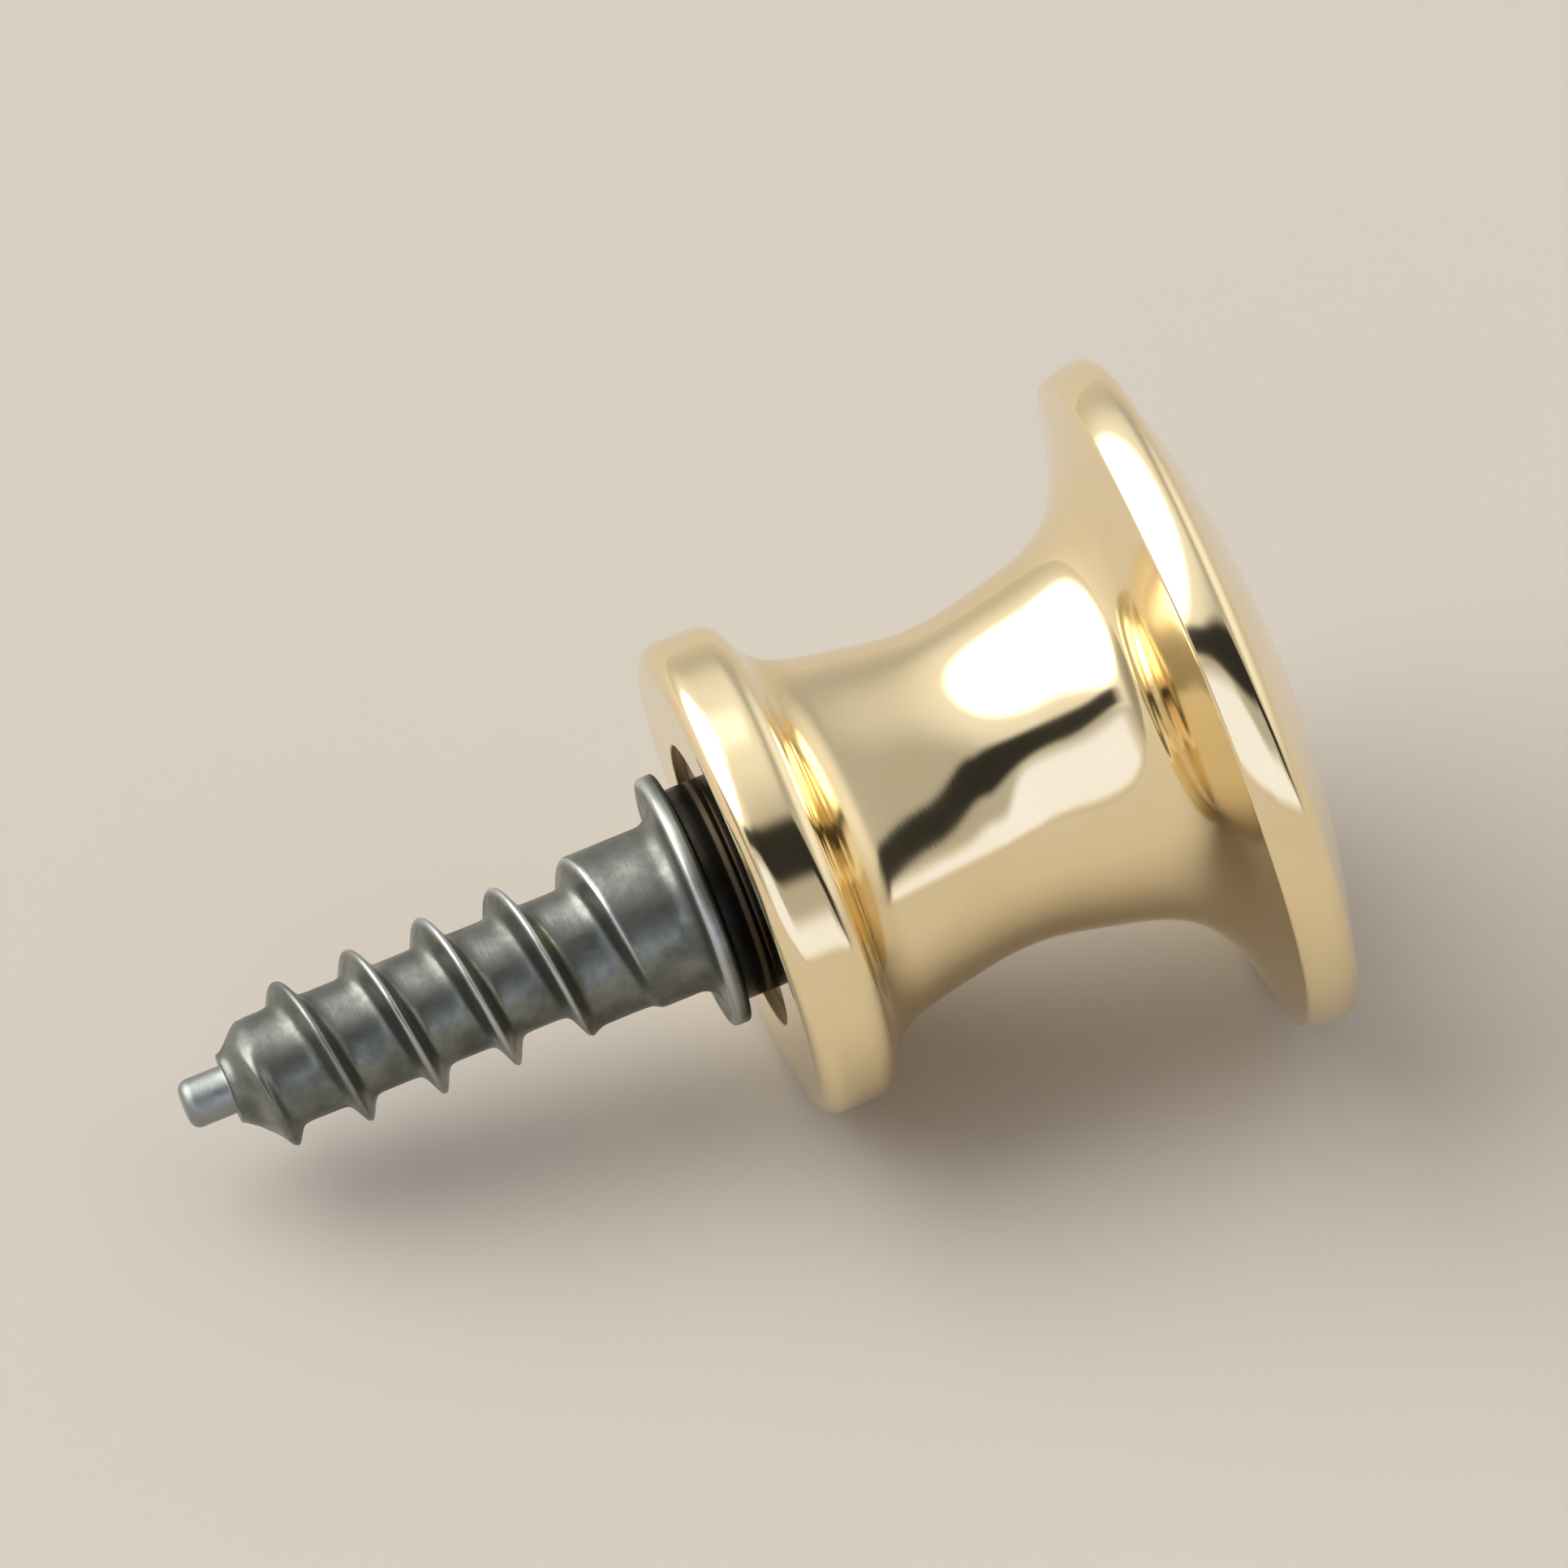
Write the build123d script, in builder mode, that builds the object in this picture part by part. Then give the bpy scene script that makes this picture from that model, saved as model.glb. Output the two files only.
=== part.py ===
from build123d import *
from math import cos, pi, radians, sin, tan
import os

# Turned brass cabinet knob with its steel hanger screw. All sizes are in mm.
# The origin is the centre of the seat, where the base meets the cabinet front.
# The face looks to -Y, the screw goes into the cabinet front along +Y, and +Z is up.

# Head of the knob
head_dia = 19.0
projection = 15.8
dome_rise = 1.45
rim_height = 1.5
rim_round_height = 0.5
rim_round = 0.36
rim_tuck = 0.25
underside_angle = 12.0
flare_dia = 11.24
flare_drop = 1.65

# Neck, with the bow of its two flanks as shares of the way from the waist
waist_dia = 9.06
waist_height = 6.95
flare_bow_along = 0.53
flare_bow_out = 0.34
foot_dia = 10.12
foot_height = 3.55
foot_bow_along = 0.55
foot_bow_out = 0.47
foot_splay = 0.16

# Base
base_dia = 13.5
base_rim_height = 2.05
cove_dia = 11.6
cove_height = 2.5
base_shoulder_round = 0.75
base_back_round = 0.6

# Shallow relief in the back of the base, with the tapped blind hole in its floor
relief_depth = 0.3
collar_clearance = 0.45
stud_clearance = 0.05
drill_run = 1.2
drill_point_angle = 118.0

# Screw blank: stud, short neck, thin collar, plain shank, point and blunt tip
stud_dia = 4.0
stud_length = 6.0
stud_chamfer = 0.35
collar_neck_dia = 6.0
collar_dia = 7.1
collar_thickness = 0.5
collar_stand = 1.3
collar_edge = 0.12
shank_dia = 4.72
shank_length = 2.45
shank_flare = 0.5
point_length = 0.9
point_end_dia = 1.96
tip_dia = 1.36
tip_length = 1.3
tip_chamfer = 0.2
screw_reach = 15.7

# Right-hand wood thread, cut into the shank's own bar
thread_pitch = 2.1
thread_relief = 0.03
root_dia = 3.24
crest_width = 0.12
flank_angle = 22.0
thread_phase = -58.0

# Places that follow from the sizes above
head_r = head_dia / 2
base_r = base_dia / 2
collar_r = collar_dia / 2
shank_r = shank_dia / 2
root_r = root_dia / 2
crest_r = shank_r - thread_relief
collar_neck_r = collar_neck_dia / 2
rim_top = dome_rise - projection
rim_low = rim_top + rim_height
rim_widest = rim_top + rim_round_height
flare_r = flare_dia / 2
flare_y = rim_low + flare_drop
waist_r = waist_dia / 2
foot_r = foot_dia / 2
flare_bow_r = waist_r + (flare_r - waist_r) * flare_bow_out
flare_bow_y = -waist_height + (flare_y + waist_height) * flare_bow_along
foot_bow_r = waist_r + (foot_r - waist_r) * foot_bow_out
foot_bow_y = -waist_height + (waist_height - foot_height) * foot_bow_along
relief_r = collar_r + collar_clearance
stud_end = -relief_depth - stud_length
hole_r = stud_dia / 2 + stud_clearance
hole_end = stud_end - drill_run
drill_point = hole_end - hole_r / tan(radians(drill_point_angle / 2))
shank_end = collar_stand + shank_length
point_start = screw_reach - tip_length - point_length
tip_start = screw_reach - tip_length

# The knob is turned from one bar: its half section is drawn in XY and revolved about Y
with BuildPart() as knob:
    with BuildSketch(Plane.XY) as section:
        with BuildLine():
            apex = (0, -projection)
            lip = (head_r - rim_round, rim_top)
            widest = (head_r, rim_widest)
            under_lip = (head_r - rim_tuck, rim_low)
            flare = (flare_r, flare_y)
            waist = (waist_r, -waist_height)
            foot = (foot_r, -foot_height)
            cove = (cove_dia / 2, -cove_height)
            shoulder = (base_r, -base_rim_height)
            inward = (-cos(radians(underside_angle)), sin(radians(underside_angle)))
            TangentArc(apex, lip, tangent=(1, 0))
            TangentArc(widest, lip, tangent=(0, -1))
            TangentArc(widest, under_lip, tangent=(0, 1))
            Spline(under_lip, flare, (flare_bow_r, flare_bow_y), waist, tangents=(inward, (0, 1)))
            Spline(waist, (foot_bow_r, foot_bow_y), foot, tangents=((0, 1), (foot_splay, 1)))
            TangentArc(foot, cove, tangent=(foot_splay, 1))
            Polyline(
                cove,
                shoulder,
                (base_r, 0),
                (relief_r, 0),
                (relief_r, -relief_depth),
                (0, -relief_depth),
                apex,
            )
        make_face()
        fillet(section.vertices().sort_by_distance(shoulder)[0], base_shoulder_round)
        fillet(section.vertices().sort_by_distance((base_r, 0))[0], base_back_round)
    revolve(axis=Axis.Y)
    with BuildSketch(Plane.XY):
        with BuildLine():
            Polyline(
                (0, -relief_depth),
                (hole_r, -relief_depth),
                (hole_r, hole_end),
                (0, drill_point),
                close=True,
            )
        make_face()
    revolve(axis=Axis.Y, mode=Mode.SUBTRACT)
knob.part.label = "knob"

# Section across the threaded length: the root's circle with one rounded lobe up to the crest
lobe_turn = 2 * pi / thread_pitch
crest_turn = lobe_turn * crest_width / 2
root_turn = crest_turn + lobe_turn * (crest_r - root_r) * tan(radians(flank_angle))
flank_r = (crest_r + root_r) / 2
flank_turn = (crest_turn + root_turn) / 2
start_turn = radians(thread_phase)
thread_plane = Plane(
    origin=(0, shank_end, 0), x_dir=(cos(start_turn), 0, -sin(start_turn)), z_dir=(0, 1, 0)
)
with BuildSketch(thread_plane) as lobe:
    with BuildLine():
        crest_low = (crest_r * cos(crest_turn), -crest_r * sin(crest_turn))
        crest_high = (crest_r * cos(crest_turn), crest_r * sin(crest_turn))
        root_low = (root_r * cos(root_turn), -root_r * sin(root_turn))
        root_high = (root_r * cos(root_turn), root_r * sin(root_turn))
        ThreePointArc(crest_low, (crest_r, 0), crest_high)
        ThreePointArc(crest_high, (flank_r * cos(flank_turn), flank_r * sin(flank_turn)), root_high)
        ThreePointArc(root_high, (-root_r, 0), root_low)
        ThreePointArc(root_low, (flank_r * cos(flank_turn), -flank_r * sin(flank_turn)), crest_low)
    make_face()

# Hanger screw: the turned stud, collar and shank, the threaded length, then the point and tip
with BuildPart() as screw:
    with BuildSketch(Plane.XY) as blank:
        with BuildLine():
            Polyline(
                (0, stud_end),
                (stud_dia / 2 - stud_chamfer, stud_end),
                (stud_dia / 2, stud_end + stud_chamfer),
                (stud_dia / 2, -relief_depth),
                (collar_neck_r, -relief_depth),
                (collar_neck_r, collar_stand - collar_thickness),
                (collar_r, collar_stand - collar_thickness),
                (collar_r, collar_stand - collar_edge),
                (collar_r - collar_edge, collar_stand),
                (shank_r, collar_stand),
                (shank_r, shank_end),
                (0, shank_end),
                close=True,
            )
        make_face()
        fillet(blank.vertices().sort_by_distance((shank_r, collar_stand))[0], shank_flare)
    revolve(axis=Axis.Y)
    turn = 360 * (point_start - shank_end) / thread_pitch
    add(
        Solid.extrude_linear_with_rotation(
            lobe.sketch.face(), (0, shank_end, 0), (0, point_start - shank_end, 0), turn
        )
    )
    with BuildSketch(Plane.XY):
        with BuildLine():
            Polyline(
                (0, point_start),
                (root_r, point_start),
                (point_end_dia / 2, tip_start),
                (tip_dia / 2, tip_start),
                (tip_dia / 2, screw_reach - tip_chamfer),
                (tip_dia / 2 - tip_chamfer, screw_reach),
                (0, screw_reach),
                close=True,
            )
        make_face()
    revolve(axis=Axis.Y)
screw.part.label = "screw"

os.makedirs("parts", exist_ok=True)
export_step(knob.part, "parts/knob.step")
export_step(screw.part, "parts/screw.step")
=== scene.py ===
# %% [markdown]
# # A turned brass cabinet knob on its steel screw
# The real object is two pieces: a knob turned from brass bar and polished, and a dull steel
# screw with a wood thread that is fixed in the knob's back. Both are round about one axis,
# so this lesson makes a small lathe out of Geometry Nodes and turns everything on it.
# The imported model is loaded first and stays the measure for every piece: the axis is Y, the
# seat that meets the cabinet front is at Y = 0, the face looks to -Y and the screw to +Y.

# %% Load the frame
from math import acos, atan2, cos, degrees, hypot, pi, radians, sin, tan

import bmesh
import bpy
from mathutils import Matrix, Vector


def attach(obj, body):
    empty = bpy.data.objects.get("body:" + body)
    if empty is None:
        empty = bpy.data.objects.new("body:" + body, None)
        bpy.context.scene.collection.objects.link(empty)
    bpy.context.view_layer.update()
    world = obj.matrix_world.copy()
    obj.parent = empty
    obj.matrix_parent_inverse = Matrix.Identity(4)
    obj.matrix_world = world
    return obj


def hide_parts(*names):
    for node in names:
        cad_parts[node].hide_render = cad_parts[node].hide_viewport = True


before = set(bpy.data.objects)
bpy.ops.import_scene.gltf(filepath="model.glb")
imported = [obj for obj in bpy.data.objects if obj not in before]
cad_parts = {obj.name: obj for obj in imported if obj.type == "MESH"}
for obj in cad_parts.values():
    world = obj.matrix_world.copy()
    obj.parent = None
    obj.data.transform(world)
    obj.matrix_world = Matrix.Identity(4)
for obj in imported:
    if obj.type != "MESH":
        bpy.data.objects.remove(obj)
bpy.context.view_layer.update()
MM = 0.001

# %% [markdown]
# ## Helpers for node trees
# Geometry Nodes and shader trees are both wired socket by socket. A helper that adds a node,
# fills its inputs from numbers or from other sockets, and gives back its outputs keeps each
# tree readable as a few lines of arithmetic. Hidden sockets share names with shown ones, so
# the helper picks the enabled one.


# %% Helpers for node trees
def shown(sockets, name):
    return next(s for s in sockets if s.name == name and s.enabled)


def place(tree, kind, inputs=None, **settings):
    node = tree.nodes.new(kind)
    for key, value in settings.items():
        setattr(node, key, value)
    for name, value in (inputs or {}).items():
        socket = node.inputs[name] if isinstance(name, int) else shown(node.inputs, name)
        if isinstance(value, bpy.types.NodeSocket):
            tree.links.new(value, socket)
        else:
            socket.default_value = value
    return node


def calc(tree, operation, a, b=0.0, c=0.0):
    return place(tree, "ShaderNodeMath", {0: a, 1: b, 2: c}, operation=operation).outputs[0]


def ramp_between(tree, value, low, high, start=0.0, end=1.0):
    inputs = {"Value": value, "From Min": low, "From Max": high, "To Min": start, "To Max": end}
    node = place(tree, "ShaderNodeMapRange", inputs, interpolation_type="SMOOTHSTEP")
    return node.outputs[0]


def new_tree(name, sockets):
    tree = bpy.data.node_groups.new(name, "GeometryNodeTree")
    tree.interface.new_socket("Geometry", in_out="OUTPUT", socket_type="NodeSocketGeometry")
    tree.interface.new_socket("Geometry", in_out="INPUT", socket_type="NodeSocketGeometry")
    for label, kind in sockets:
        tree.interface.new_socket(label, in_out="INPUT", socket_type="NodeSocket" + kind)
    return tree, tree.nodes.new("NodeGroupInput").outputs, tree.nodes.new("NodeGroupOutput").inputs


print("helpers: place, calc, ramp_between, new_tree")

# %% [markdown]
# ## The lathe
# A turned piece could be made with Blender's Screw modifier or with bmesh.ops.spin. A small
# Geometry Nodes lathe is clearer to reuse: the object holds only the half section as a line of
# points, X being the radius and Y the height. The tree lays out a flat grid with one column
# for each section point and one row for each step around, reads the section with Sample Index,
# and rolls the grid up about Y. Merge by Distance closes the seam and the poles.


# %% The lathe tree
def lathe_tree():
    tree, given, result = new_tree("lathe", [("Segments", "Int"), ("Finish", "Material")])
    count = place(tree, "GeometryNodeAttributeDomainSize", {"Geometry": given["Geometry"]})
    rows = calc(tree, "ADD", given["Segments"], 1.0)
    columns = count.outputs["Point Count"]
    sizes = {"Size X": 1.0, "Size Y": 1.0, "Vertices X": columns, "Vertices Y": rows}
    grid = place(tree, "GeometryNodeMeshGrid", sizes)
    here = tree.nodes.new("GeometryNodeInputPosition").outputs[0]
    flat = place(tree, "ShaderNodeSeparateXYZ", {"Vector": here}).outputs
    step = calc(tree, "MULTIPLY", calc(tree, "ADD", flat["X"], 0.5), calc(tree, "SUBTRACT", columns, 1.0))
    turn = calc(tree, "MULTIPLY", calc(tree, "ADD", flat["Y"], 0.5), 2 * pi)
    picked = {"Geometry": given["Geometry"], "Value": here, "Index": calc(tree, "ROUND", step)}
    section = place(tree, "GeometryNodeSampleIndex", picked, data_type="FLOAT_VECTOR").outputs[0]
    drawn = place(tree, "ShaderNodeSeparateXYZ", {"Vector": section}).outputs
    across = calc(tree, "MULTIPLY", drawn["X"], calc(tree, "COSINE", turn))
    upward = calc(tree, "MULTIPLY", drawn["X"], calc(tree, "SINE", turn))
    rolled = place(tree, "ShaderNodeCombineXYZ", {"X": across, "Y": drawn["Y"], "Z": upward}).outputs[0]
    turned = place(tree, "GeometryNodeSetPosition", {"Geometry": grid.outputs["Mesh"], "Position": rolled})
    closed = place(tree, "GeometryNodeMergeByDistance", {"Geometry": turned.outputs[0], "Distance": 1e-7})
    smooth = place(tree, "GeometryNodeSetShadeSmooth", {"Geometry": closed.outputs[0]})
    real = place(tree, "GeometryNodeRealizeInstances", {"Geometry": smooth.outputs[0]})
    painted = place(
        tree, "GeometryNodeSetMaterial", {"Geometry": real.outputs[0], "Material": given["Finish"]}
    )
    tree.links.new(painted.outputs[0], result["Geometry"])
    return tree


LATHE = lathe_tree()


def made_by(tree, points, values):
    """The plain mesh that a tree makes from a line of (radius, height) points in mm."""
    line = bpy.data.meshes.new("section line")
    places = [(r * MM, y * MM, 0) for r, y in points]
    line.from_pydata(places, [(i, i + 1) for i in range(len(places) - 1)], [])
    blank = bpy.data.objects.new("section blank", line)
    bpy.context.scene.collection.objects.link(blank)
    modifier = blank.modifiers.new("turning", "NODES")
    modifier.node_group = tree
    for item in tree.interface.items_tree:
        if item.in_out == "INPUT" and item.name in values:
            modifier[item.identifier] = values[item.name]
    seen = blank.evaluated_get(bpy.context.evaluated_depsgraph_get())
    mesh = bpy.data.meshes.new_from_object(seen)
    blank.modifiers.remove(modifier)
    bpy.data.objects.remove(blank)
    return mesh


print("lathe nodes:", len(LATHE.nodes))

# %% [markdown]
# ## Section tools
# A polished surface shows every kink as a bent reflection, so a section is built from true
# arcs and smooth curves, sampled every tenth of a millimetre. Corners that the polishing wheel
# has softened get a small arc of their own instead of a sharp edge with split normals.


# %% Section tools
def arc(centre, radius, start, end, steps):
    turns = [radians(start + (end - start) * i / steps) for i in range(steps + 1)]
    return [(centre[0] + radius * cos(t), centre[1] + radius * sin(t)) for t in turns]


def flow(points, leave, arrive, spacing=0.1):
    """A smooth curve through the points, with its direction given at both ends."""
    points = [Vector(p) for p in points]
    spans = [(b - a).length for a, b in zip(points, points[1:])]
    ways = [Vector(leave).normalized()] + [Vector((0, 0))] * (len(spans) - 1) + [Vector(arrive).normalized()]
    for _ in range(40):
        for i in range(1, len(spans)):
            h, k = spans[i - 1], spans[i]
            pull = 3 * ((points[i] - points[i - 1]) / h**2 + (points[i + 1] - points[i]) / k**2)
            ways[i] = (pull - ways[i - 1] / h - ways[i + 1] / k) / (2 / h + 2 / k)
    made = []
    for p, q, u, v, span in zip(points, points[1:], ways, ways[1:], spans):
        steps = max(2, round(span / spacing))
        for i in range(steps):
            t = i / steps
            made.append(
                p * (2 * t**3 - 3 * t**2 + 1)
                + u * span * (t**3 - 2 * t**2 + t)
                + q * (3 * t**2 - 2 * t**3)
                + v * span * (t**3 - t**2)
            )
    return [tuple(p) for p in made] + [tuple(points[-1])]


def straight(a, b, spacing=0.15):
    steps = max(1, round(hypot(b[0] - a[0], b[1] - a[1]) / spacing))
    return [(a[0] + (b[0] - a[0]) * i / steps, a[1] + (b[1] - a[1]) * i / steps) for i in range(steps + 1)]


def eased(before, corner, after, radius, steps=6):
    """The arc that rounds a corner between two straight runs."""
    corner = Vector(corner)
    back = (Vector(before) - corner).normalized()
    on = (Vector(after) - corner).normalized()
    half = acos(max(-1.0, min(1.0, back.dot(on)))) / 2
    centre = corner + (back + on).normalized() * radius / sin(half)
    first, last = corner + back * radius / tan(half), corner + on * radius / tan(half)
    start = atan2(*(first - centre).yx)
    sweep = (atan2(*(last - centre).yx) - start + pi) % (2 * pi) - pi
    turns = [start + sweep * i / steps for i in range(steps + 1)]
    return [(centre.x + radius * cos(t), centre.y + radius * sin(t)) for t in turns]


def swept(start, leave, end, steps=16):
    """The arc that leaves a point in a given direction and ends at another point."""
    chord = Vector(end) - Vector(start)
    along = Vector(leave).normalized()
    off = Vector((along.y, -along.x))
    radius = chord.length_squared / (2 * chord.dot(off))
    centre = Vector(start) + off * radius
    first = atan2(*(Vector(start) - centre).yx)
    sweep = (atan2(*(Vector(end) - centre).yx) - first + pi) % (2 * pi) - pi
    turns = [first + sweep * i / steps for i in range(steps + 1)]
    return [(centre.x + abs(radius) * cos(t), centre.y + abs(radius) * sin(t)) for t in turns]


def joined_line(*runs):
    line = []
    for run in runs:
        for p in run:
            if not line or hypot(p[0] - line[-1][0], p[1] - line[-1][1]) > 1e-4:
                line.append(p)
    return line


print("section tools: arc, flow, straight, eased, swept, joined_line")

# %% [markdown]
# ## The knob's half section
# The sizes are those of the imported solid, in millimetres. The line starts at the middle of the
# face. It goes over the dome, round the rim, down the trumpet underside and the neck, through
# the cove and round the base, and ends at the bottom of the hole in its back, on the axis
# again, so that the turned piece is closed.

# %% Knob section
HEAD_R, PROJECTION, DOME_RISE = 9.5, 15.8, 1.45
RIM_HEIGHT, RIM_ROUND_HEIGHT, RIM_ROUND, RIM_TUCK, UNDERSIDE = 1.5, 0.5, 0.36, 0.25, 12.0
FLARE, FLARE_BOW, WAIST = (5.62, -11.2), (4.9006, -9.2025), (4.53, -6.95)
FOOT_BOW, FOOT, FOOT_SPLAY, COVE = (4.75, -5.08), (5.07, -3.55), 0.25, (5.8, -2.5)
BASE_R, BASE_RIM, SHOULDER_ROUND, BACK_ROUND = 6.75, 2.05, 0.75, 0.6
RELIEF_R, RELIEF_DEPTH, RELIEF_EDGE = 4.0, 0.3, 0.05
HOLE_R, HOLE_END, DRILL_POINT = 2.05, -7.5, -8.7318

rim_top = DOME_RISE - PROJECTION
rim_low = rim_top + RIM_HEIGHT
rim_widest = rim_top + RIM_ROUND_HEIGHT
lip_r = HEAD_R - RIM_ROUND
dome_r = (lip_r**2 + DOME_RISE**2) / (2 * DOME_RISE)
dome_half = degrees(atan2(lip_r, dome_r - DOME_RISE))
inward = (-cos(radians(UNDERSIDE)), sin(radians(UNDERSIDE)))


def bulge(depth, height, steps=12):
    """The rim's arc from its widest ring, drawing in by a depth over a height."""
    radius = (depth**2 + height**2) / (2 * depth)
    end = degrees(atan2(height, radius - depth))
    return arc((HEAD_R - radius, rim_widest), radius, 0, end, steps)


shoulder = (BASE_R, -BASE_RIM)
dome = arc((0, dome_r - PROJECTION), dome_r, -90, -90 + dome_half, 90)
rim_over = bulge(RIM_ROUND, rim_top - rim_widest)
rim_under = bulge(RIM_TUCK, rim_low - rim_widest)
trumpet = flow([(HEAD_R - RIM_TUCK, rim_low), FLARE, FLARE_BOW, WAIST], inward, (0, 1))
foot = flow([WAIST, FOOT_BOW, FOOT], (0, 1), (FOOT_SPLAY, 1))
cove = swept(FOOT, (FOOT_SPLAY, 1), COVE)
crown = eased(COVE, shoulder, (BASE_R, 0), SHOULDER_ROUND, 12)
back = eased(shoulder, (BASE_R, 0), (0, 0), BACK_ROUND, 10)
sink = eased((BASE_R, 0), (RELIEF_R, 0), (RELIEF_R, -RELIEF_DEPTH), RELIEF_EDGE, 3)
hole = [(HOLE_R, -RELIEF_DEPTH), (HOLE_R, HOLE_END), (0, DRILL_POINT)]
KNOB_SECTION = joined_line(
    dome, rim_over[::-1], rim_under, trumpet, foot, cove, straight(COVE, crown[0]), crown,
    straight(crown[-1], back[0]), back, straight(back[-1], sink[0]), sink,
    straight((RELIEF_R, -RELIEF_DEPTH), hole[0]), hole,
)
print("knob section points:", len(KNOB_SECTION))

# %% [markdown]
# ## Shared surface marks
# Polished brass and oiled steel are both touched and turned metal, so one shader group serves
# both. It puts out soft blotches, as from handling and oil, and fine rings that run round the
# axis, as a polishing mop or a turning tool leaves them. Rings are a noise read at (radius,
# height) only, so they never vary around the piece. Each finish uses its own strength.


# %% Shared marks group
def length_of(tree, a, b):
    """The length of a step made of two steps at right angles."""
    squares = calc(tree, "ADD", calc(tree, "MULTIPLY", a, a), calc(tree, "MULTIPLY", b, b))
    return calc(tree, "SQRT", squares)


def marks_group():
    tree = bpy.data.node_groups.new("turned metal marks", "ShaderNodeTree")
    for label, kind in (("Blotch Scale", "Float"), ("Ring Scale", "Float")):
        tree.interface.new_socket(label, in_out="INPUT", socket_type="NodeSocket" + kind)
    for label in ("Blotch", "Rings", "Radius", "Height"):
        tree.interface.new_socket(label, in_out="OUTPUT", socket_type="NodeSocketFloat")
    given = tree.nodes.new("NodeGroupInput").outputs
    result = tree.nodes.new("NodeGroupOutput").inputs
    place_on = tree.nodes.new("ShaderNodeTexCoord").outputs["Object"]
    parts = place(tree, "ShaderNodeSeparateXYZ", {"Vector": place_on}).outputs
    radius = length_of(tree, parts["X"], parts["Z"])
    blotch = place(
        tree, "ShaderNodeTexNoise",
        {"Vector": place_on, "Scale": given["Blotch Scale"], "Detail": 4.0, "Roughness": 0.6},
    )
    ring_at = place(tree, "ShaderNodeCombineXYZ", {"X": radius, "Y": parts["Y"], "Z": 0.0}).outputs[0]
    rings = place(
        tree, "ShaderNodeTexNoise",
        {"Vector": ring_at, "Scale": given["Ring Scale"], "Detail": 3.0, "Roughness": 0.7},
    )
    tree.links.new(blotch.outputs[0], result["Blotch"])
    tree.links.new(rings.outputs[0], result["Rings"])
    tree.links.new(calc(tree, "DIVIDE", radius, MM), result["Radius"])
    tree.links.new(calc(tree, "DIVIDE", parts["Y"], MM), result["Height"])
    return tree


MARKS = marks_group()


def finish_tree(name):
    finish = bpy.data.materials.new(name)
    finish.use_nodes = True
    tree = finish.node_tree
    shader = tree.nodes["Principled BSDF"]
    marks = tree.nodes.new("ShaderNodeGroup")
    marks.node_tree = MARKS
    return finish, tree, shader, marks


def blend_colour(tree, factor, a, b):
    node = place(tree, "ShaderNodeMix", {"Factor": factor}, data_type="RGBA")
    for name, value in (("A", a), ("B", b)):
        socket = shown(node.inputs, name)
        if isinstance(value, bpy.types.NodeSocket):
            tree.links.new(value, socket)
        else:
            socket.default_value = (*value, 1)
    return shown(node.outputs, "Result")


print("marks outputs:", [item.name for item in MARKS.interface.items_tree if item.in_out == "OUTPUT"])

# %% [markdown]
# ## Polished brass
# Brass has no colour of its own beside its reflections: the metal tints what it mirrors. The
# base colour is a pale straw gold. Shade is painted into it in two places: a deeper, darker
# gold in the crease at the neck's foot, and dark brown in the relief behind the collar.
# The roughness is low and wanders slightly, so highlights keep soft edges.


# %% Polished brass
def polished_brass():
    finish, tree, shader, marks = finish_tree("polished brass")
    marks.inputs["Blotch Scale"].default_value = 260.0
    marks.inputs["Ring Scale"].default_value = 9000.0
    # Painted shade: the crease at the neck's foot is tinted a deeper, darker gold and made a little rougher.
    wide = calc(tree, "SUBTRACT", marks.outputs["Radius"], (FOOT[0] + COVE[0]) / 2)
    tall = calc(tree, "SUBTRACT", marks.outputs["Height"], (FOOT[1] + COVE[1]) / 2)
    crease_painted_shade = ramp_between(tree, length_of(tree, wide, tall), 0.2, 0.8, 1.0, 0.0)
    soft = ramp_between(tree, marks.outputs["Blotch"], 0.35, 0.7)
    metal = blend_colour(tree, soft, (0.94, 0.79, 0.51), (0.91, 0.75, 0.46))
    metal = blend_colour(tree, calc(tree, "MULTIPLY", crease_painted_shade, 0.3), metal, (0.72, 0.52, 0.22))
    # Painted shade: the relief behind the collar is coloured dark brown and made rougher.
    inside = ramp_between(tree, marks.outputs["Radius"], RELIEF_R, RELIEF_R + 0.08, 1.0, 0.0)
    at_back = ramp_between(tree, marks.outputs["Height"], -RELIEF_DEPTH - 0.3, -RELIEF_DEPTH - 0.1)
    painted_recess_shade = calc(tree, "MULTIPLY", inside, at_back)
    metal = blend_colour(tree, painted_recess_shade, metal, (0.22, 0.15, 0.08))
    tree.links.new(metal, shader.inputs["Base Color"])
    rough = ramp_between(tree, marks.outputs["Blotch"], 0.3, 0.75, 0.07, 0.12)
    rough = calc(tree, "ADD", rough, calc(tree, "MULTIPLY", crease_painted_shade, 0.06))
    rough = calc(tree, "ADD", rough, calc(tree, "MULTIPLY", painted_recess_shade, 0.3))
    tree.links.new(rough, shader.inputs["Roughness"])
    traces = {"Strength": 0.03, "Distance": 0.02 * MM, "Height": marks.outputs["Rings"]}
    bump = place(tree, "ShaderNodeBump", traces)
    tree.links.new(bump.outputs[0], shader.inputs["Normal"])
    shader.inputs["Metallic"].default_value = 1.0
    return finish


BRASS = polished_brass()
print("finish:", BRASS.name)

# %% [markdown]
# ## Turning the knob
# A piece may come from several made meshes. They are joined, points that lie on each other are
# merged and the faces are turned outwards. No edge may be left open, and the volume is printed
# because it should be close to the solid's.


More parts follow.
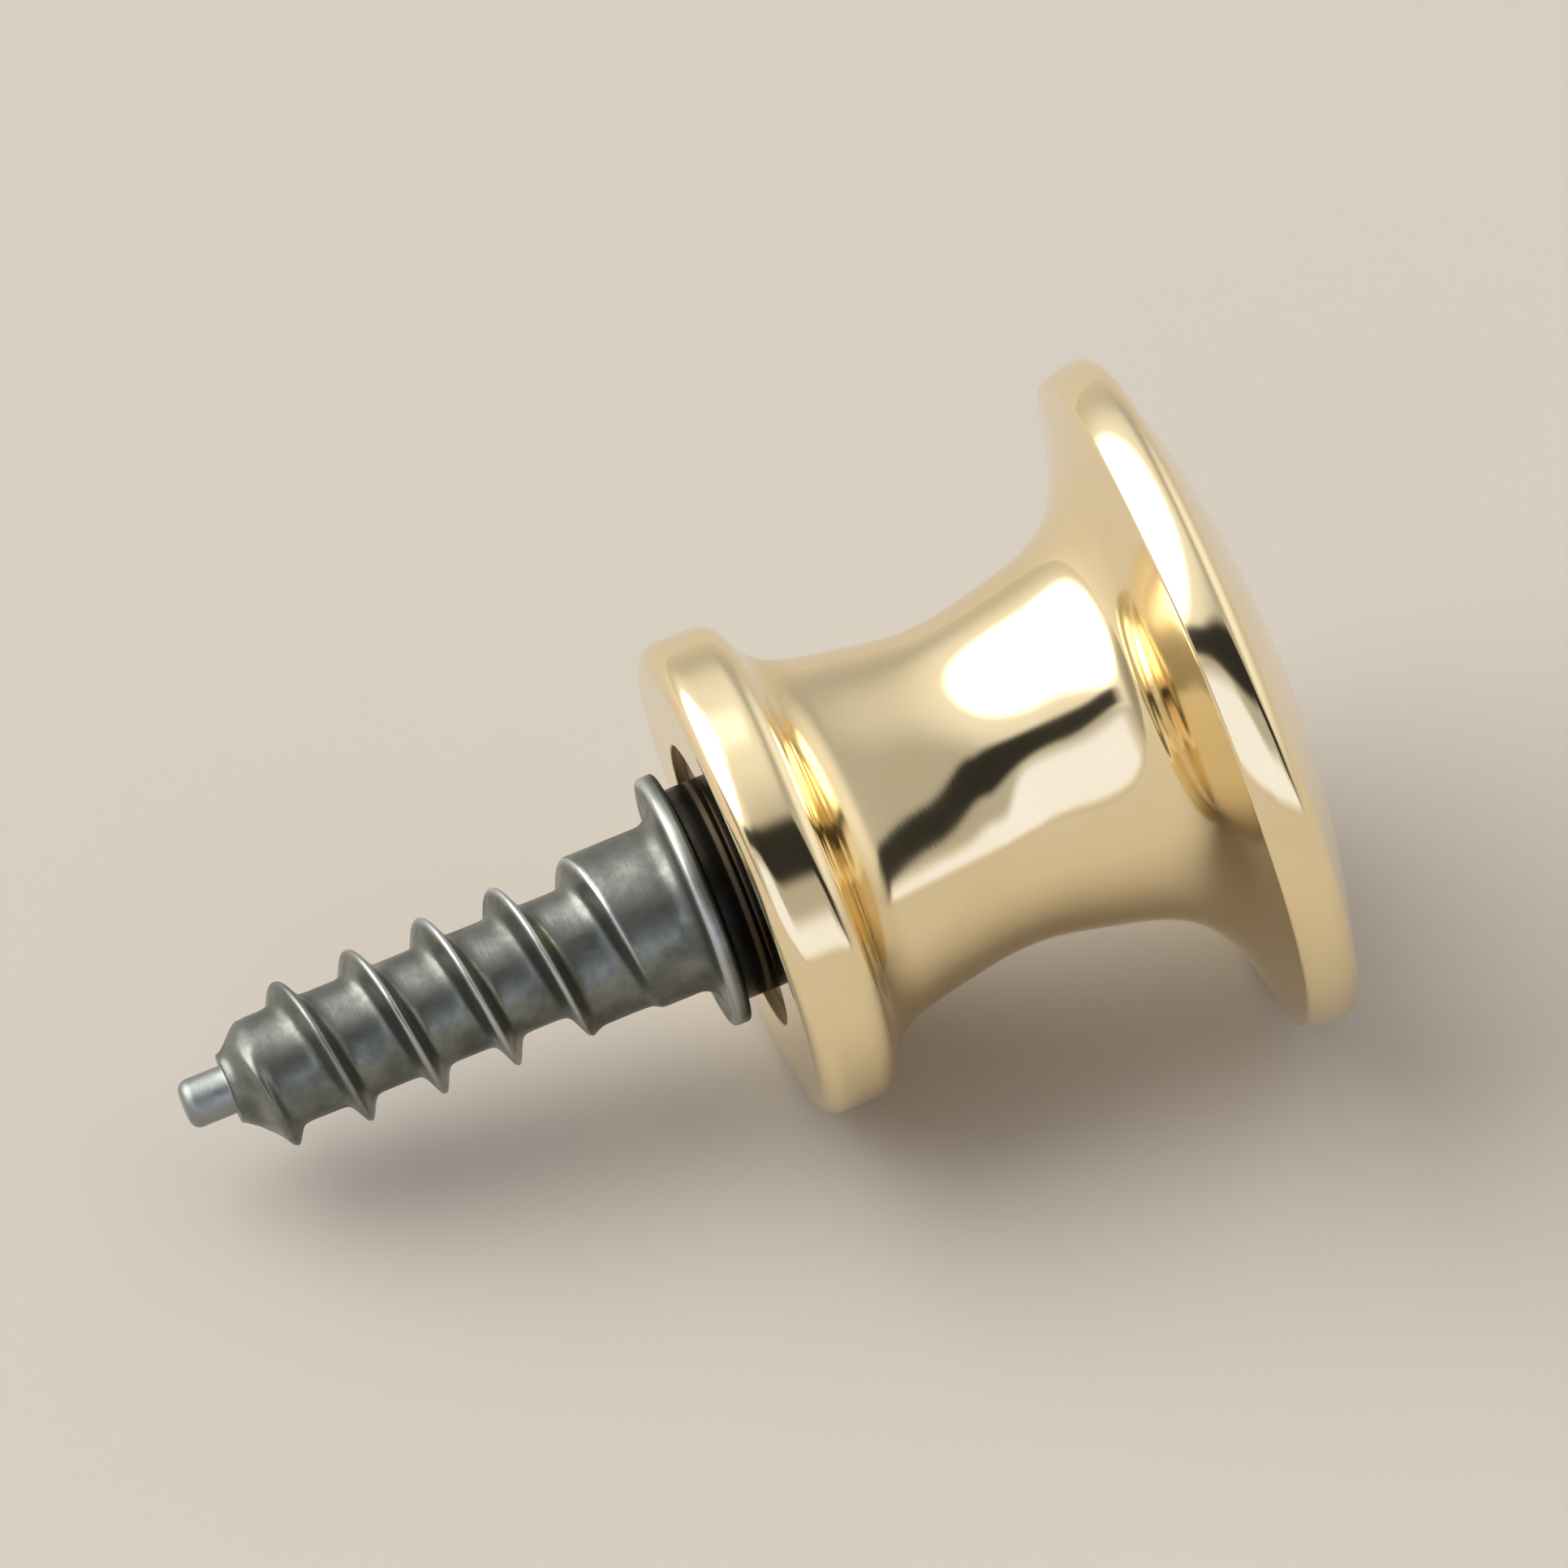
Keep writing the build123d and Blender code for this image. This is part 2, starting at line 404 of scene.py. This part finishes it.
# %% Turn the knob
def finished_piece(name, finish, *meshes):
    """One closed piece from the made meshes: doubles merged, faces pointing outwards."""
    whole = bmesh.new()
    for mesh in meshes:
        whole.from_mesh(mesh)
    bmesh.ops.remove_doubles(whole, verts=whole.verts, dist=2e-7)
    bmesh.ops.dissolve_degenerate(whole, edges=whole.edges, dist=1e-8)
    bmesh.ops.recalc_face_normals(whole, faces=whole.faces)
    for face in whole.faces:
        face.smooth = True
        face.material_index = 0
    open_edges = sum(1 for edge in whole.edges if not edge.is_manifold)
    volume = whole.calc_volume(signed=True) / MM**3
    mesh = bpy.data.meshes.new(name)
    whole.to_mesh(mesh)
    print(name, "faces:", len(whole.faces), "open edges:", open_edges, "volume mm3:", round(volume, 1))
    whole.free()
    mesh.materials.clear()
    mesh.materials.append(finish)
    piece = bpy.data.objects.new(name, mesh)
    bpy.context.scene.collection.objects.link(piece)
    return piece


AROUND_KNOB = 192
knob_mesh = made_by(LATHE, KNOB_SECTION, {"Segments": AROUND_KNOB, "Finish": BRASS})
knob_body = finished_piece("knob_body", BRASS, knob_mesh)
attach(knob_body, "root")
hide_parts("knob")

# %% [markdown]
# ## The wood thread
# A thread could be a ridge swept along a spiral, but a real one is cut into the bar: the
# groove starts as nothing on the plain shank, deepens over part of a turn, and the ridge fades
# out again at the point. So the thread here is a grid rolled up like the lathe's, with its rows
# slanted by one pitch per turn so that they follow the ridge. The object holds one pitch of the
# thread as a line of points; the tree repeats it, eases it in along the groove's own length,
# and tapers it to the point. Rows before the start and past the end are held at the two end
# circles, where Merge by Distance closes them up. The ridge loses height over the last turns
# and fades out on the point.


# %% The thread tree
TAPER_RUN, TAPERED_SHARE = 6.5 * MM, 0.78
FADE_LEAD, FADE_REST = 0.6 * MM, 0.05 * MM


def thread_tree():
    sockets = [
        ("Segments", "Int"), ("Turns", "Int"), ("Pitch", "Float"), ("First Crest", "Float"),
        ("Start", "Float"), ("End", "Float"), ("Shank Radius", "Float"), ("Root Radius", "Float"),
        ("Crest Radius", "Float"), ("Tip Radius", "Float"), ("Point Start", "Float"),
        ("Groove Start", "Float"), ("Groove Ease", "Float"), ("Finish", "Material"),
    ]
    tree, given, result = new_tree("wood thread", sockets)
    line = place(tree, "GeometryNodeAttributeDomainSize", {"Geometry": given["Geometry"]})
    count = line.outputs["Point Count"]
    across = calc(tree, "MULTIPLY", given["Turns"], count)
    sizes = {
        "Size X": 1.0, "Size Y": 1.0,
        "Vertices X": calc(tree, "ADD", across, 1.0),
        "Vertices Y": calc(tree, "ADD", given["Segments"], 1.0),
    }
    grid = place(tree, "GeometryNodeMeshGrid", sizes)
    here = tree.nodes.new("GeometryNodeInputPosition").outputs[0]
    flat = place(tree, "ShaderNodeSeparateXYZ", {"Vector": here}).outputs
    row = calc(tree, "ROUND", calc(tree, "MULTIPLY", calc(tree, "ADD", flat["X"], 0.5), across))
    lap = calc(tree, "ADD", flat["Y"], 0.5)
    turn_of_row = calc(tree, "FLOOR", calc(tree, "DIVIDE", calc(tree, "ADD", row, 0.25), count))
    in_pitch = calc(tree, "SUBTRACT", row, calc(tree, "MULTIPLY", turn_of_row, count))
    picked = {"Geometry": given["Geometry"], "Value": here, "Index": calc(tree, "ROUND", in_pitch)}
    section = place(tree, "GeometryNodeSampleIndex", picked, data_type="FLOAT_VECTOR").outputs[0]
    drawn = place(tree, "ShaderNodeSeparateXYZ", {"Vector": section}).outputs
    run = calc(tree, "ADD", turn_of_row, lap)
    in_row = calc(tree, "ADD", drawn["Y"], given["First Crest"])
    along = calc(tree, "ADD", calc(tree, "MULTIPLY", run, given["Pitch"]), in_row)
    height = calc(tree, "MINIMUM", calc(tree, "MAXIMUM", along, given["Start"]), given["End"])
    groove_full = calc(tree, "ADD", given["Groove Start"], given["Groove Ease"])
    groove = ramp_between(tree, run, given["Groove Start"], groove_full)
    point = given["Point Start"]
    taper_start = calc(tree, "SUBTRACT", point, TAPER_RUN)
    taper = ramp_between(tree, height, taper_start, point, 1.0, TAPERED_SHARE)
    fade_start = calc(tree, "SUBTRACT", point, FADE_LEAD)
    fade = ramp_between(tree, height, fade_start, calc(tree, "SUBTRACT", given["End"], FADE_REST), 1.0, 0.0)
    core = ramp_between(tree, height, point, given["End"], given["Root Radius"], given["Tip Radius"])
    ridge = calc(tree, "SUBTRACT", drawn["X"], given["Root Radius"])
    ridge = calc(tree, "MULTIPLY", calc(tree, "MULTIPLY", ridge, taper), fade)
    cut = calc(tree, "ADD", core, ridge)
    radius = calc(
        tree, "ADD", given["Shank Radius"],
        calc(tree, "MULTIPLY", calc(tree, "SUBTRACT", cut, given["Shank Radius"]), groove),
    )
    turn = calc(tree, "MULTIPLY", lap, 2 * pi)
    side = calc(tree, "MULTIPLY", radius, calc(tree, "COSINE", turn))
    upward = calc(tree, "MULTIPLY", calc(tree, "MULTIPLY", radius, calc(tree, "SINE", turn)), -1.0)
    rolled = place(tree, "ShaderNodeCombineXYZ", {"X": side, "Y": height, "Z": upward}).outputs[0]
    worn = calc(tree, "DIVIDE", ridge, calc(tree, "SUBTRACT", given["Crest Radius"], given["Root Radius"]))
    worn = calc(tree, "MULTIPLY", worn, groove)
    store = {"Geometry": grid.outputs["Mesh"], "Name": "crest", "Value": worn}
    kept = place(tree, "GeometryNodeStoreNamedAttribute", store, data_type="FLOAT", domain="POINT")
    turned = place(tree, "GeometryNodeSetPosition", {"Geometry": kept.outputs[0], "Position": rolled})
    closed = place(tree, "GeometryNodeMergeByDistance", {"Geometry": turned.outputs[0], "Distance": 2e-7})
    smooth = place(tree, "GeometryNodeSetShadeSmooth", {"Geometry": closed.outputs[0]})
    real = place(tree, "GeometryNodeRealizeInstances", {"Geometry": smooth.outputs[0]})
    painted = place(
        tree, "GeometryNodeSetMaterial", {"Geometry": real.outputs[0], "Material": given["Finish"]}
    )
    tree.links.new(painted.outputs[0], result["Geometry"])
    return tree


THREAD = thread_tree()
print("thread nodes:", len(THREAD.nodes))

# %% [markdown]
# ## Oiled steel
# The screw is plain steel, dark and dull from its heat treatment and a film of oil, so it is a
# rough grey metal with blotches. Handling has rubbed the sharp crests of the thread to a
# lighter grey; the thread tree stored how far each point is up the ridge, and the finish reads
# that. The sheared tip is bare bright metal and the collar's rim is a lighter grey. The neck
# behind the collar has painted shade, near black, with a painted highlight as a faint line where
# it enters the knob.


# %% Oiled steel
def oiled_steel():
    finish, tree, shader, marks = finish_tree("oiled steel")
    marks.inputs["Blotch Scale"].default_value = 900.0
    marks.inputs["Ring Scale"].default_value = 6000.0
    height, radius = marks.outputs["Height"], marks.outputs["Radius"]
    soft = ramp_between(tree, marks.outputs["Blotch"], 0.3, 0.72)
    metal = blend_colour(tree, soft, (0.13, 0.14, 0.125), (0.23, 0.245, 0.22))
    ridge = tree.nodes.new("ShaderNodeAttribute")
    ridge.attribute_name = "crest"
    rubbed = ramp_between(tree, ridge.outputs["Fac"], 0.72, 1.0)
    metal = blend_colour(tree, calc(tree, "MULTIPLY", rubbed, 0.8), metal, (0.50, 0.52, 0.52))
    bare = ramp_between(tree, height, TIP_START - 0.05, TIP_START + 0.1)
    metal = blend_colour(tree, calc(tree, "MULTIPLY", bare, 0.7), metal, (0.36, 0.38, 0.37))
    # The collar's rim is coloured a lighter grey than the shank.
    outside = ramp_between(tree, radius, COLLAR_R - 0.3, COLLAR_R - 0.06)
    in_front = ramp_between(tree, height, COLLAR_STAND - 0.3, COLLAR_STAND - 0.1)
    rim = calc(tree, "MULTIPLY", outside, in_front)
    metal = blend_colour(tree, calc(tree, "MULTIPLY", rim, 0.8), metal, (0.55, 0.57, 0.56))
    # Painted shade: the neck behind the collar, in the gap before the knob, is coloured near black.
    behind = ramp_between(tree, height, COLLAR_STAND - 0.42, COLLAR_STAND - 0.3, 1.0, 0.0)
    metal = blend_colour(tree, calc(tree, "MULTIPLY", behind, 0.97), metal, (0.016, 0.017, 0.018))
    # Painted highlight: a faint lighter grey line on the neck where it enters the knob.
    seam = ramp_between(tree, height, 0.12, 0.2, 1.0, 0.0)
    seam = calc(tree, "MULTIPLY", ramp_between(tree, height, -0.02, 0.05), seam)
    metal = blend_colour(tree, seam, metal, (0.34, 0.35, 0.34))
    tree.links.new(metal, shader.inputs["Base Color"])
    rough = ramp_between(tree, marks.outputs["Blotch"], 0.3, 0.7, 0.5, 0.3)
    tree.links.new(rough, shader.inputs["Roughness"])
    grain = calc(tree, "ADD", marks.outputs["Blotch"], calc(tree, "MULTIPLY", marks.outputs["Rings"], 0.25))
    bump = place(tree, "ShaderNodeBump", {"Strength": 0.3, "Distance": 0.06 * MM, "Height": grain})
    tree.links.new(bump.outputs[0], shader.inputs["Normal"])
    shader.inputs["Metallic"].default_value = 1.0
    return finish


COLLAR_R, COLLAR_STAND, COLLAR_THICKNESS, COLLAR_NECK_R = 3.55, 1.3, 0.5, 3.0
SHANK_R, SHANK_FLARE, STUD_R, STUD_END = 2.36, 0.5, 2.0, -6.3
POINT_END_R, TIP_R, TIP_START, SCREW_REACH = 0.98, 0.68, 14.4, 15.7
STEEL = oiled_steel()
print("finish:", STEEL.name)

# %% [markdown]
# ## Turning and threading the screw
# The stud, neck, collar and flare, and the blunt tip, come off the lathe. The length between
# them comes from the thread tree. One pitch is drawn from a crest to the middle of the root,
# with a narrow rounded crest, a steep flank and a hollow run into the root, and mirrored. The
# crest's turn at the shank's end puts the ridges where they are on the solid.

# %% Turn and thread the screw
PITCH, ROOT_R, CREST_R, CREST_HALF = 2.1, 1.62, 2.33, 0.05
SHANK_END, CREST_TURN, POINT_START = 3.75, -58.0, 13.5
STUD_CHAMFER, AROUND_SCREW = 0.35, 128

half_pitch = [
    (CREST_R, 0.0), (CREST_R - 0.006, CREST_HALF * 0.7), (CREST_R - 0.03, CREST_HALF + 0.02),
    (CREST_R - 0.08, CREST_HALF + 0.05), (CREST_R - 0.22, CREST_HALF + 0.11),
    (CREST_R - 0.38, CREST_HALF + 0.175), (CREST_R - 0.52, CREST_HALF + 0.24),
    (ROOT_R + 0.09, CREST_HALF + 0.31), (ROOT_R + 0.035, CREST_HALF + 0.39),
    (ROOT_R + 0.008, CREST_HALF + 0.5), (ROOT_R, CREST_HALF + 0.66), (ROOT_R, PITCH / 2),
]
one_pitch = half_pitch + [(r, PITCH - y) for r, y in half_pitch[-2:0:-1]]
shank_top = COLLAR_STAND + SHANK_FLARE
collar_back = COLLAR_STAND - COLLAR_THICKNESS
collar = joined_line(
    [(0, STUD_END), (STUD_R - STUD_CHAMFER, STUD_END), (STUD_R, STUD_END + STUD_CHAMFER)],
    straight((STUD_R, -RELIEF_DEPTH), (COLLAR_NECK_R, -RELIEF_DEPTH)),
    eased((COLLAR_NECK_R, 0), (COLLAR_NECK_R, collar_back), (COLLAR_R, collar_back), 0.12, 4),
    eased((COLLAR_NECK_R, collar_back), (COLLAR_R, collar_back), (COLLAR_R, COLLAR_STAND), 0.08, 4),
    eased((COLLAR_R, collar_back), (COLLAR_R, COLLAR_STAND), (SHANK_R, COLLAR_STAND), 0.14, 6),
    arc((SHANK_R + SHANK_FLARE, shank_top), SHANK_FLARE, 270, 180, 8),
)
tip = joined_line(
    [(POINT_END_R, TIP_START)],
    eased((POINT_END_R, TIP_START), (TIP_R, TIP_START), (TIP_R, SCREW_REACH), 0.08, 4),
    eased((TIP_R, TIP_START), (TIP_R, SCREW_REACH), (0, SCREW_REACH), 0.3, 8),
    straight((TIP_R - 0.3, SCREW_REACH), (0, SCREW_REACH)),
)
first_crest = (SHANK_END - PITCH * CREST_TURN / 360) % PITCH - 2 * PITCH
settings = {
    "Segments": AROUND_SCREW, "Turns": 9, "Pitch": PITCH * MM, "First Crest": first_crest * MM,
    "Start": shank_top * MM, "End": TIP_START * MM, "Shank Radius": SHANK_R * MM,
    "Root Radius": ROOT_R * MM, "Crest Radius": CREST_R * MM, "Tip Radius": POINT_END_R * MM,
    "Point Start": POINT_START * MM, "Groove Start": 2.25, "Groove Ease": 0.4, "Finish": STEEL,
}
thread_mesh = made_by(THREAD, one_pitch, settings)
collar_mesh = made_by(LATHE, collar, {"Segments": AROUND_SCREW, "Finish": STEEL})
tip_mesh = made_by(LATHE, tip, {"Segments": AROUND_SCREW, "Finish": STEEL})
screw_body = finished_piece("screw_body", STEEL, collar_mesh, thread_mesh, tip_mesh)
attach(screw_body, "root")
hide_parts("screw")

# %% [markdown]
# ## Floor
# A loose knob rolls until it lies on the rim of its head and the back edge of its base, so in
# the knob's own frame the floor is a plane that touches both and rises towards the screw. Which
# two points of the section touch depends on the tilt, so the tilt is found in a few rounds. The
# floor is a plain pale sheet.


# %% Floor
FLOOR_GAP, FLOOR_REACH = 0.02 * MM, 1.5
head_points = [p for p in KNOB_SECTION if p[1] < WAIST[1]]
base_points = [p for p in KNOB_SECTION if p[1] > WAIST[1]]
drop = 0.0
for _ in range(20):
    low_rim, low_base = (
        min(points, key=lambda p: -p[0] * cos(drop) - p[1] * sin(drop))
        for points in (head_points, base_points)
    )
    drop = atan2(low_rim[0] - low_base[0], low_base[1] - low_rim[1])
floor_up = Vector((0, -sin(drop), cos(drop)))
level = floor_up.dot(Vector((0, low_rim[1], -low_rim[0]))) * MM - FLOOR_GAP


def pale_floor():
    finish = bpy.data.materials.new("pale floor")
    finish.use_nodes = True
    shader = finish.node_tree.nodes["Principled BSDF"]
    shader.inputs["Base Color"].default_value = (0.50, 0.46, 0.405, 1)
    shader.inputs["Roughness"].default_value = 0.7
    return finish


floor_mesh = bpy.data.meshes.new("floor")
sideways = Vector((1, 0, 0)) * FLOOR_REACH
along = Vector((0, cos(drop), sin(drop))) * FLOOR_REACH
sides = ((-1, -1), (1, -1), (1, 1), (-1, 1))
corners = [floor_up * level + sideways * a + along * b for a, b in sides]
floor_mesh.from_pydata(corners, [], [(0, 1, 2, 3)])
floor_mesh.materials.append(pale_floor())
floor_sheet = bpy.data.objects.new("floor", floor_mesh)
bpy.context.scene.collection.objects.link(floor_sheet)
print("floor tilt:", round(degrees(drop), 2), "level mm:", round(level / MM, 3))

# %% [markdown]
# ## Measures of a direction
# Polished metal is lit by what it mirrors. Area lamps would do, but their edges are hard and
# their faces flat, so the whole studio is drawn in the world by direction. Three measures tell
# where a direction points. Lift is its angle around the knob's axis, in degrees, from the near
# side over the top. Lean is how far it goes along the axis, towards the screw. Rise is how far
# it goes up from the floor.

# %% Measures of a direction
NEAR_SIDE, TOP_SIDE = (-0.676, 0, 0.737), (0.737, 0, 0.676)
KEY_WAY = (0.40, 0.50, 0.768)

world = bpy.data.worlds.new("room")
bpy.context.scene.world = world
world.use_nodes = True
room = world.node_tree
way = room.nodes.new("ShaderNodeTexCoord").outputs["Generated"]


def facing(direction):
    node = place(room, "ShaderNodeVectorMath", {0: way, 1: direction}, operation="DOT_PRODUCT")
    return node.outputs["Value"]


def ramp(value, low, high, start=0.0, end=1.0):
    return ramp_between(room, value, low, high, start, end)


def times(a, b):
    return calc(room, "MULTIPLY", a, b)


def less(a, b):
    return calc(room, "SUBTRACT", a, b)


lift = times(calc(room, "ARCTAN2", facing(TOP_SIDE), facing(NEAR_SIDE)), 180 / pi)
lean = facing((0, 1, 0))
rise = facing(floor_up)
to_key = facing(KEY_WAY)
print("measure nodes:", len(room.nodes))

# %% [markdown]
# ## Light
# A large round soft lamp hangs above, towards the screw, in a grey ceiling that is lighter
# round it. A white card stands low on the near side, and between card and ceiling is the dark
# gap where the camera stands; both bend away along the axis, as a card and a gap close by do.
# A pale backdrop closes the room in front of the face. At the horizon the room takes the
# floor's own tone, so that no hard line runs round the polished metal.


# %% Light
def toned(tone, mask, brightness):
    """The tone so far, changed to a new brightness where the mask is on."""
    return calc(room, "ADD", tone, times(mask, less(brightness, tone)))


ceiling = ramp(to_key, cos(radians(64)), cos(radians(36)), 0.5, 0.97)
overhead = times(ramp(lift, 9.0, 16.0), ramp(lift, 104.0, 134.0, 1.0, 0.0))
lamp = ramp(to_key, cos(radians(38)), cos(radians(26)))
ahead = ramp(lean, 0.86, 0.96)
behind = ramp(lean, -0.8, -0.5, 1.0, 0.0)
backdrop = ramp(rise, 0.0, 0.7, 0.64, 1.05)
between = times(ramp(lean, -0.8, -0.55), ramp(lean, 0.7, 0.9, 1.0, 0.0))

gap_middle = times(calc(room, "MAXIMUM", calc(room, "ADD", lean, 0.1), 0.0), 20.0)
gap_middle = calc(room, "ADD", gap_middle, ramp(lean, -0.85, -0.18, -51.0, 4.5))
gap_half = ramp(lean, -0.1, 0.5, 14.0, 6.0)
below = less(gap_middle, lift)
off_middle = calc(room, "DIVIDE", calc(room, "ABSOLUTE", below), gap_half)
gap = times(ramp(off_middle, 0.75, 1.3, 1.0, 0.0), between)

card_start = less(ramp(lean, -0.6, -0.3, 12.0, 30.0), ramp(lean, -0.05, 0.3, 0.0, 20.0))
card_foot = ramp(lean, 0.0, 0.3, -66.0, -40.0)
card = times(ramp(less(below, card_start), -3.0, 9.0), ramp(less(lift, card_foot), -5.0, 5.0))
card = times(times(card, between), ramp(rise, 0.0, 0.1))

tone = ramp(rise, 0.0, 0.4, 0.64, 0.5)
for mask, brightness in (
    (overhead, ceiling), (behind, backdrop), (lamp, 4.2), (ahead, 0.35), (card, 1.0), (gap, 0.03),
):
    tone = toned(tone, mask, brightness)
hue = blend_colour(room, card, (1.0, 0.985, 0.96), (1.0, 1.06, 1.32))
floor_near = times(ramp(rise, 0.0, 0.3, 1.0, 0.0), less(1.0, card))
hue = blend_colour(room, floor_near, hue, (1.0, 0.92, 0.81))
room.links.new(hue, room.nodes["Background"].inputs["Color"])
room.links.new(tone, room.nodes["Background"].inputs["Strength"])
print("room nodes:", len(room.nodes))

# %% [markdown]
# ## Camera
# The camera looks down at the lying knob from its left side, a little from the screw's end,
# through a long lens. The knob lies in its frame with the screw to the lower left and the head
# to the upper right.

# %% Camera
CAMERA_DISTANCE = 0.65
toward = Vector((-0.674, 0.096, 0.735)).normalized()
upright = Vector((0.663, -0.376, 0.648))
upright = (upright - toward * upright.dot(toward)).normalized()
rightward = upright.cross(toward)
aim = (Vector((0, -1.6, 0)) + upright * 2.1) * MM
eye = aim + toward * CAMERA_DISTANCE
lens = bpy.data.cameras.new("camera")
lens.sensor_width = 36
lens.lens = 560
lens.clip_start = 0.01
camera = bpy.data.objects.new("camera", lens)
axes = Matrix((rightward, upright, toward)).transposed().to_4x4()
camera.matrix_world = Matrix.Translation(eye) @ axes
bpy.context.scene.collection.objects.link(camera)
bpy.context.scene.camera = camera
bpy.context.scene.view_settings.view_transform = "Standard"
height_angle = degrees(atan2(toward.dot(floor_up), (toward - floor_up * toward.dot(floor_up)).length))
print("camera above the floor, degrees:", round(height_angle, 1))
